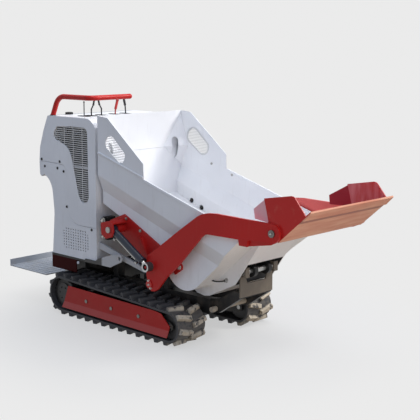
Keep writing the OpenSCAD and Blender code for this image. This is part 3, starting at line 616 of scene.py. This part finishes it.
# %% Paint the sky
AIR = (0.40, 0.48, 0.635)
sky = bpy.data.worlds.new("pale_sky")
sky.use_nodes = True
bpy.context.scene.world = sky
sky_tree = sky.node_tree
air = sky_tree.nodes["Background"]
air.inputs["Color"].default_value = (*AIR, 1.0)
backdrop = sky_tree.nodes.new("ShaderNodeBackground")
backdrop.inputs["Color"].default_value = (*BACKDROP, 1.0)
rays = sky_tree.nodes.new("ShaderNodeLightPath")
seen = sky_tree.nodes.new("ShaderNodeMath")
seen.operation = "ADD"
seen_all = sky_tree.nodes.new("ShaderNodeMath")
seen_all.operation = "ADD"
choice = sky_tree.nodes.new("ShaderNodeMixShader")
sky_tree.links.new(rays.outputs["Is Camera Ray"], seen.inputs[0])
sky_tree.links.new(rays.outputs["Is Glossy Ray"], seen.inputs[1])
sky_tree.links.new(seen.outputs[0], seen_all.inputs[0])
sky_tree.links.new(rays.outputs["Is Transmission Ray"], seen_all.inputs[1])
sky_tree.links.new(seen_all.outputs[0], choice.inputs[0])
sky_tree.links.new(air.outputs[0], choice.inputs[1])
sky_tree.links.new(backdrop.outputs[0], choice.inputs[2])
sky_tree.links.new(choice.outputs[0], sky_tree.nodes["World Output"].inputs["Surface"])
print("sky has", len(sky_tree.nodes), "nodes")


# %% Hang the lamps
def soft_lamp(name, place, aim, size, power, colour):
    data = bpy.data.lights.new(name, "AREA")
    data.shape = "DISK"
    data.size = size
    data.energy = power
    data.color = colour
    lamp = bpy.data.objects.new(name, data)
    bpy.context.collection.objects.link(lamp)
    lamp.location = place
    lamp.rotation_euler = (Vector(aim) - Vector(place)).to_track_quat("-Z", "Y").to_euler()
    lamp.visible_camera = False


MIDDLE = (0.1, 0, 0.6)
soft_lamp("key_lamp", (3.8, 4.0, 4.6), MIDDLE, 1.8, 310.0, (1.0, 0.97, 0.92))
soft_lamp("top_lamp", (0.3, 1.0, 5.5), MIDDLE, 3.5, 140.0, (1.0, 0.98, 0.96))
soft_lamp("low_lamp", (2.9, -1.1, 0.2), (0.8, 0, 0.5), 1.6, 20.0, (1.0, 0.95, 0.89))

# %% [markdown]
# ## Small fittings, modelled by hand
# A few tools are used again and again: pick faces or edges by where they lie, draw them out, step them
# in, and set a finished piece down. A piece is modelled at the origin, copied, turned to face outwards
# and moved to its seat. Its place is then applied, so that the object itself stays at the origin like a
# CAD solid.

# %% Make the bench tools
def select_only(piece):
    clear()
    piece.select_set(True)
    bpy.context.view_layer.objects.active = piece


def apply_place():
    bpy.ops.object.transform_apply(location=True, rotation=True, scale=True)


def drop_flags(mesh):
    for part in (mesh.vertices, mesh.edges, mesh.polygons):
        part.foreach_set("select", [False] * len(part))


def pick_faces(piece, test):
    drop_flags(piece.data)
    for face in piece.data.polygons:
        face.select = test(face.center, face.normal)
    bpy.ops.object.mode_set(mode="EDIT")
    bpy.ops.mesh.select_mode(type="FACE")


def pick_edges(piece, test):
    mesh = piece.data
    drop_flags(mesh)
    bpy.context.tool_settings.mesh_select_mode = (False, True, False)
    for edge in mesh.edges:
        edge.select = test(*[mesh.vertices[k].co for k in edge.vertices])
    bpy.ops.object.mode_set(mode="EDIT")


def pick_all():
    bpy.ops.object.mode_set(mode="EDIT")
    bpy.ops.mesh.select_mode(type="VERT")
    bpy.ops.mesh.select_all(action="SELECT")


def pick_top(piece):
    pick_faces(piece, lambda centre, normal: normal.z > 0.9)


def draw_out(step):
    bpy.ops.mesh.extrude_region_move(TRANSFORM_OT_translate={"value": step})


def step_in(rim, rise):
    bpy.ops.mesh.inset(thickness=rim)
    bpy.ops.transform.translate(value=(0, 0, rise))


def leave_edit():
    bpy.ops.object.mode_set(mode="OBJECT")


def mend_normals(piece):
    select_only(piece)
    pick_all()
    bpy.ops.mesh.remove_doubles(threshold=0.00001)
    bpy.ops.mesh.normals_make_consistent(inside=False)
    leave_edit()


print("bench ready")


# %% Set pieces down
def set_down(piece, name, body, finish, smooth=35.0):
    select_only(piece)
    piece.name = name
    apply_place()
    bpy.ops.object.shade_smooth_by_angle(angle=math.radians(smooth))
    piece.data.materials.clear()
    piece.data.materials.append(finish)
    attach(piece, body)
    print(name, "has", len(piece.data.polygons), "faces and rides on", body)


def seat_copy(master, place, outward, turn=0.0):
    piece = master.copy()
    piece.data = master.data.copy()
    bpy.context.collection.objects.link(piece)
    facing = Vector((0, 0, 1)).rotation_difference(Vector(outward))
    spun = Vector((0, 1, 0)).rotation_difference(Vector((math.sin(turn), math.cos(turn), 0)))
    piece.rotation_mode = "QUATERNION"
    piece.rotation_quaternion = facing @ spun
    piece.location = place
    return piece


def join_all(pieces):
    clear()
    for piece in pieces:
        piece.select_set(True)
    bpy.context.view_layer.objects.active = pieces[0]
    apply_place()
    bpy.ops.object.join()
    return pieces[0]


def seat_row(master, seats, name, body, finish):
    copies = [seat_copy(master, place, outward, BOLT_TURN * k) for k, (place, outward) in enumerate(seats)]
    bpy.data.objects.remove(master)
    set_down(join_all(copies), name, body, finish)


def both_sides(spots, y):
    right = [((x, -y, z), (0, -1, 0)) for x, z in spots]
    left = [((x, y, z), (0, 1, 0)) for x, z in spots]
    return right + left


BOLT_TURN = 0.37
print("bolts in a row are turned by", BOLT_TURN, "more each")

# %% [markdown]
# ## Hexagon bolts
# Each lift arm is bolted up at its foot with three screws in a row, and the tabs of the side plates carry
# a larger one. A head is a six-sided prism with a chamfered top and a washer under it. The chamfer is an
# inset that is lifted, and a second inset is pressed down for the forged dish.

# %% Forge the bolt heads
HEX_CORNER = 0.577
WASHER_REACH = 0.72
WASHER_TALL = 0.0022
WASHER_SEAT = 0.0004
HEAD_SEAT = 0.0012


def hex_prism(across, tall):
    clear()
    bpy.ops.mesh.primitive_cylinder_add(vertices=6, radius=across * HEX_CORNER, depth=tall,
                                        location=(0, 0, tall / 2 + HEAD_SEAT))
    head = bpy.context.object
    pick_top(head)
    step_in(across * 0.07, across * 0.05)
    step_in(across * 0.16, -across * 0.02)
    leave_edit()
    return head


def washer_disc(across):
    clear()
    bpy.ops.mesh.primitive_cylinder_add(vertices=28, radius=across * WASHER_REACH, depth=WASHER_TALL,
                                        location=(0, 0, WASHER_SEAT))
    washer = bpy.context.object
    pick_top(washer)
    step_in(across * 0.03, 0.0003)
    leave_edit()
    return washer


def hex_head(across, tall):
    return join_all([hex_prism(across, tall), washer_disc(across)])


ARM_FACE = 0.350
FOOT_SPOTS = [(0.138, 0.322), (0.143, 0.302), (0.152, 0.284)]
foot_seats = both_sides(FOOT_SPOTS, ARM_FACE)
seat_row(hex_head(0.010, 0.006), foot_seats, "arm_foot_bolts", "arms", zinc_steel)

# %% [markdown]
# ## Domed bolts inside the skip
# The side plates and the guard are held by coach bolts, whose domes lie inside the skip so that spoil
# slides past. A dome is a ball that is cut in half, flattened, and given a thin rim.

# %% Turn the domes
DOME_CUT = 0.1
DOME_RIM = 0.0016


def dome_head(radius, tall):
    clear()
    bpy.ops.mesh.primitive_uv_sphere_add(segments=24, ring_count=12, radius=radius)
    dome = bpy.context.object
    pick_all()
    bpy.ops.mesh.bisect(plane_co=(0, 0, radius * DOME_CUT), plane_no=(0, 0, 1), clear_inner=True,
                        use_fill=True)
    leave_edit()
    dome.scale = (1, 1, tall / radius)
    dome.location = (0, 0, HEAD_SEAT - DOME_CUT * tall)
    apply_place()
    pick_faces(dome, lambda centre, normal: normal.z < -0.9)
    draw_out((0, 0, -DOME_RIM))
    leave_edit()
    return dome


def inside(spots, y):
    return [((x, side * y, z), (0, -side, 0)) for x, z in spots for side in (-1, 1)]


PLATE_SPOTS = [(-0.170, 0.647), (-0.088, 0.612), (0.020, 0.569)]
PLATE_INSIDE = 0.286
RIM_SPOTS = [(-0.042, 0.874), (0.120, 0.822)]
RIM_INSIDE = 0.321
plate_seats = inside(PLATE_SPOTS, PLATE_INSIDE)
rim_seats = inside(RIM_SPOTS, RIM_INSIDE)
seat_row(dome_head(0.0135, 0.0110), plate_seats, "plate_domes", "skip", black_enamel)
seat_row(dome_head(0.008, 0.006), rim_seats, "rim_domes", "skip", zinc_steel)

# %% [markdown]
# ## Hems on the skip's edges
# The skip's top edge is a folded hem, which keeps the thin sheet straight, and the guard's wing is folded
# out a little where it sits on the skip. A hem is a long bar with rounded edges that lies along the
# slope of the rim. The bar is made level at its full length, bevelled, and then turned to the slope.

# %% Fold the hems
RIM_REAR = Vector((-0.300, 0.964))
RIM_LIP = Vector((0.7893, 0.646))
HEM_ROUND = 0.0012


def hem_bar(start, end, lift, tall, inner, outer):
    rim = RIM_LIP - RIM_REAR
    first = RIM_REAR + rim * ((start - RIM_REAR.x) / rim.x)
    last = RIM_REAR + rim * ((end - RIM_REAR.x) / rim.x)
    middle = (first + last) / 2
    clear()
    bpy.ops.mesh.primitive_cube_add(size=1.0)
    bar = bpy.context.object
    bar.scale = ((last - first).length, outer - inner, tall)
    apply_place()
    pick_all()
    bpy.ops.mesh.bevel(offset=HEM_ROUND, segments=3, affect="EDGES")
    leave_edit()
    bar.rotation_euler = (0, -math.atan2(rim.y, rim.x), 0)
    bar.location = (middle.x, (inner + outer) / 2, middle.y + lift)
    apply_place()
    return bar


def mirrored(piece):
    twin = piece.copy()
    twin.data = piece.data.copy()
    bpy.context.collection.objects.link(twin)
    twin.scale = (1, -1, 1)
    pair = join_all([piece, twin])
    mend_normals(pair)
    return pair


rim_bars = mirrored(hem_bar(0.078, 0.782, -0.007, 0.018, 0.3195, 0.3268))
set_down(rim_bars, "rim_hems", "skip", white_enamel)
wing_bars = mirrored(hem_bar(-0.298, 0.072, 0.008, 0.010, 0.3240, 0.3300))
set_down(wing_bars, "wing_hems", "skip", white_enamel)

# %% [markdown]
# ## Pipes of the lift rams
# A steel pipe carries oil along each lift ram to its front port. It leaves one port, bends, runs along
# the barrel and bends back in. A pipe like this is a circle that is extruded for the straights and
# spun for the bends. It is made along X and then laid on the ram's slope.

# %% Bend the ram pipes
BARREL_PIN = Vector((-0.125, 0.372, 0.568))
RAM_SLOPE = math.atan2(BARREL_PIN.z - ROD_EYE[1], ROD_EYE[0] - BARREL_PIN.x)
REAR_PORT = 0.041
FRONT_PORT = 0.2393
PORT_FACE = -0.030
PIPE_STUB = 0.008
PIPE_LINE = PORT_FACE - PIPE_STUB
PIPE_SMOOTH = 50.0
NUT_RADIUS = 0.0085
NUT_TALL = 0.010
NUT_LINE = -0.037


def bend_quarter(centre, axis):
    bpy.ops.mesh.spin(steps=8, angle=-math.pi / 2, center=centre, axis=axis)


def ram_pipe(radius, bend):
    clear()
    bpy.ops.mesh.primitive_circle_add(vertices=16, radius=radius, fill_type="NGON",
                                      location=(REAR_PORT, 0, PORT_FACE))
    pipe = bpy.context.object
    apply_place()
    pick_all()
    draw_out((0, 0, -PIPE_STUB))
    bend_quarter((REAR_PORT + bend, 0, PIPE_LINE), (0, 1, 0))
    draw_out((FRONT_PORT - REAR_PORT - 2 * bend, 0, 0))
    bend_quarter((FRONT_PORT - bend, 0, PIPE_LINE), (0, 1, 0))
    draw_out((0, 0, PIPE_STUB))
    leave_edit()
    mend_normals(pipe)
    return pipe


def port_nut(x):
    clear()
    bpy.ops.mesh.primitive_cylinder_add(vertices=6, radius=NUT_RADIUS, depth=NUT_TALL,
                                        location=(x, 0, NUT_LINE))
    nut = bpy.context.object
    pick_faces(nut, lambda centre, normal: abs(normal.z) > 0.9)
    bpy.ops.mesh.inset(thickness=0.001)
    bpy.ops.transform.resize(value=(1, 1, 1.12))
    leave_edit()
    return nut


ram_set = join_all([ram_pipe(0.0052, 0.012), port_nut(REAR_PORT), port_nut(FRONT_PORT)])
ram_set.rotation_euler = (0, RAM_SLOPE, 0)
ram_set.location = BARREL_PIN
apply_place()
set_down(mirrored(ram_set), "ram_pipes", "lift_barrels", zinc_steel, PIPE_SMOOTH)

# %% [markdown]
# ## Unions on the valve block
# The rams' oil passes through unions at the housing's front. Each union ends in a bright nut with a
# domed plug. The nut is the bolt head from above with a dome on top, so both tools are used again.

# %% Screw on the union nuts
UNION_TALL = 0.009
PLUG_SEAT = 0.0095
UNION_SPOTS = [(-0.306, 0.490), (-0.306, 0.525), (-0.306, 0.560)]
UNION_FACE = 0.286
FEED_SPOTS = [(-0.306, 0.582)]
FEED_FACE = 0.288


def capped_nut(across):
    nut = hex_head(across, UNION_TALL)
    plug = dome_head(across * 0.36, across * 0.3)
    plug.location = (0, 0, PLUG_SEAT)
    return join_all([nut, plug])


union_seats = both_sides(UNION_SPOTS, UNION_FACE)
feed_seats = both_sides(FEED_SPOTS, FEED_FACE)
seat_row(capped_nut(0.020), union_seats, "union_nuts", "chassis", zinc_steel)
seat_row(capped_nut(0.026), feed_seats, "feed_nuts", "chassis", zinc_steel)

# %% [markdown]
# ## Bolts of the side plates and grease nipples
# A large bolt holds the tab of each side plate, and the arm pins and the shovel's pins have a grease
# nipple in their ends: a hexagon, a cone and a small ball. The nipple is one cylinder whose end is drawn
# out and tapered step by step.

# %% Fit bolts and nipples
NIPPLE_SIZE = 0.0042
NIPPLE_STEPS = [(0.1, 0.75), (0.7, 0.62), (0.25, 1.3), (0.35, 1.1), (0.3, 0.7)]
TAB_BOLT = (0.316, 0.417)
TAB_FACE = 0.2995
ARM_PIN_END = 0.356
SHOVEL_PIN = (0.985, 0.690)
SHOVEL_PIN_END = 0.357


def grease_nipple(size):
    clear()
    bpy.ops.mesh.primitive_cylinder_add(vertices=12, radius=size, depth=size * 0.8,
                                        location=(0, 0, size * 0.4))
    nipple = bpy.context.object
    apply_place()
    pick_top(nipple)
    for rise, shrink in NIPPLE_STEPS:
        draw_out((0, 0, rise * size))
        bpy.ops.transform.resize(value=(shrink, shrink, 1))
    leave_edit()
    return nipple


tab_seats = both_sides([TAB_BOLT], TAB_FACE)
arm_seats = both_sides([ARM_PIN], ARM_PIN_END)
shovel_seats = both_sides([SHOVEL_PIN], SHOVEL_PIN_END)
seat_row(hex_head(0.020, 0.010), tab_seats, "tongue_bolts", "skip", zinc_steel)
seat_row(grease_nipple(NIPPLE_SIZE), arm_seats, "arm_nipples", "skip", zinc_steel)
seat_row(grease_nipple(NIPPLE_SIZE), shovel_seats, "shovel_nipples", "arms", zinc_steel)

# %% [markdown]
# ## Bezels of the lever slots
# Every lever comes up through a slot in the hood with a rubber bezel. A bezel starts as a plane: its
# corners are bevelled round, its inside is inset and removed, and what is left is drawn up and softened.

# %% Mould the bezels
BEZEL_ROUND = 0.0006
HOOD_TOP = 1.154
RUBBER_SEAT = HOOD_TOP - 0.0004
SLOT_X = -0.540
SLOT_ROW = [-0.222, -0.168, -0.092, 0.012, 0.098]


def slot_bezel(length, width, rim, tall):
    clear()
    bpy.ops.mesh.primitive_plane_add(size=1.0)
    bezel = bpy.context.object
    bezel.scale = (length, width, 1)
    apply_place()
    pick_all()
    bpy.ops.mesh.bevel(offset=width * 0.3, segments=5, affect="VERTICES")
    bpy.ops.mesh.select_mode(type="FACE")
    bpy.ops.mesh.select_all(action="SELECT")
    bpy.ops.mesh.inset(thickness=rim)
    bpy.ops.mesh.delete(type="FACE")
    bpy.ops.mesh.select_all(action="SELECT")
    draw_out((0, 0, tall))
    leave_edit()
    mend_normals(bezel)
    softened = bezel.modifiers.new("softened", "BEVEL")
    softened.width = BEZEL_ROUND
    softened.segments = 2
    bpy.ops.object.modifier_apply(modifier="softened")
    return bezel


first_bezel = slot_bezel(0.096, 0.030, 0.0065, 0.003)
bezels = [seat_copy(first_bezel, (SLOT_X, y, RUBBER_SEAT), (0, 0, 1)) for y in SLOT_ROW]
bpy.data.objects.remove(first_bezel)
set_down(join_all(bezels), "slot_bezels", "chassis", boot_rubber)

# %% [markdown]
# ## Rail collar and filler cap
# The hand rail leaves the hood through a black rubber collar, a disc with a raised lip. The filler cap
# is a moulded knob with ribs round it for the fingers: every second side face of a drum is drawn out.

# %% Press the collar
RAIL_FOOT = (-0.7311, -0.300)


def collar(radius, tall):
    clear()
    bpy.ops.mesh.primitive_cylinder_add(vertices=36, radius=radius, depth=tall, location=(0, 0, tall / 2))
    ring = bpy.context.object
    pick_top(ring)
    step_in(radius * 0.08, tall * 0.5)
    step_in(radius * 0.08, tall * 0.4)
    leave_edit()
    return ring


rail_ring = collar(0.0185, 0.004)
rail_ring.scale = (1.1, 1, 1)
rail_ring.location = (*RAIL_FOOT, RUBBER_SEAT)
set_down(rail_ring, "rail_collar", "chassis", boot_rubber)

# %% Mould the cap
FILLER = (-0.728, -0.183)
RIB_DEPTH = 0.0018


def ribbed_cap(radius, tall, ribs):
    clear()
    bpy.ops.mesh.primitive_cylinder_add(vertices=ribs * 2, radius=radius, depth=tall,
                                        location=(0, 0, tall / 2))
    cap = bpy.context.object
    apply_place()
    step = math.pi / ribs
    pick_faces(cap, lambda c, n: abs(n.z) < 0.5 and int(math.atan2(c.y, c.x) % math.tau / step) % 2 == 0)
    bpy.ops.mesh.extrude_faces_move(TRANSFORM_OT_shrink_fatten={"value": RIB_DEPTH})
    leave_edit()
    pick_faces(cap, lambda c, n: n.z > 0.9 and c.length < radius * 0.6 + tall)
    step_in(radius * 0.16, 0.0014)
    step_in(radius * 0.3, -0.0016)
    leave_edit()
    return cap


filler_cap = ribbed_cap(0.0212, 0.0125, 18)
filler_cap.location = (*FILLER, HOOD_TOP - 0.0003)
set_down(filler_cap, "filler_cap", "chassis", grip_black)

# %% [markdown]
# ## Grease line of the hinge
# A black line comes out of the bowl's front wall, turns a quarter round and ends in a bright union on
# the nose's right wall. It is bent like the ram pipes, from straights and a spin, but lying flat.

# %% Bend the grease line
NOSE_WALL = -0.148
LINE_START = Vector((0.452, -0.203, 0.352))
LINE_STRAIGHT = Vector((0.022, 0, 0))
LINE_BEND = 0.038


def grease_line(radius):
    clear()
    bpy.ops.mesh.primitive_circle_add(vertices=14, radius=radius, fill_type="NGON", location=LINE_START,
                                      rotation=(0, math.pi / 2, 0))
    line = bpy.context.object
    apply_place()
    pick_all()
    draw_out(LINE_STRAIGHT)
    bend_quarter(LINE_START + LINE_STRAIGHT + Vector((0, LINE_BEND, 0)), (0, 0, 1))
    draw_out((0, NOSE_WALL - LINE_START.y - LINE_BEND, 0))
    leave_edit()
    mend_normals(line)
    return line


set_down(grease_line(0.0040), "grease_line", "skip", black_enamel, PIPE_SMOOTH)
line_end = (LINE_START.x + LINE_STRAIGHT.x + LINE_BEND, NOSE_WALL, LINE_START.z)
seat_row(hex_head(0.017, 0.012), [(line_end, (0, -1, 0))], "line_union", "skip", zinc_steel)

# %% [markdown]
# ## Stop tabs
# Behind each arm the side plate ends in a rounded tab with a bolt through it. The tab is a block whose
# end is bevelled round, turned to the slope of the plate's edge.

# %% Cut the stop tabs
TAB_SLOPE = math.radians(34)
TAB_CENTRE = (0.302, 0.295, 0.407)
TAB_SIZE = (0.072, 0.0098, 0.042)
TAB_ROUND = 0.019


def stop_tab(side):
    clear()
    bpy.ops.mesh.primitive_cube_add(size=1.0)
    tab = bpy.context.object
    tab.scale = TAB_SIZE
    apply_place()
    pick_edges(tab, lambda one, two: one.x > 0 and two.x > 0 and abs(one.y - two.y) > TAB_SIZE[1] / 2)
    bpy.ops.mesh.bevel(offset=TAB_ROUND, segments=7, affect="EDGES")
    leave_edit()
    tab.rotation_euler = (0, -TAB_SLOPE, 0)
    tab.location = (TAB_CENTRE[0], side * TAB_CENTRE[1], TAB_CENTRE[2])
    return tab


set_down(join_all([stop_tab(-1), stop_tab(1)]), "stop_tabs", "skip", red_enamel)

# %% [markdown]
# ## The end

# %% Finish
print("the scene is dressed")
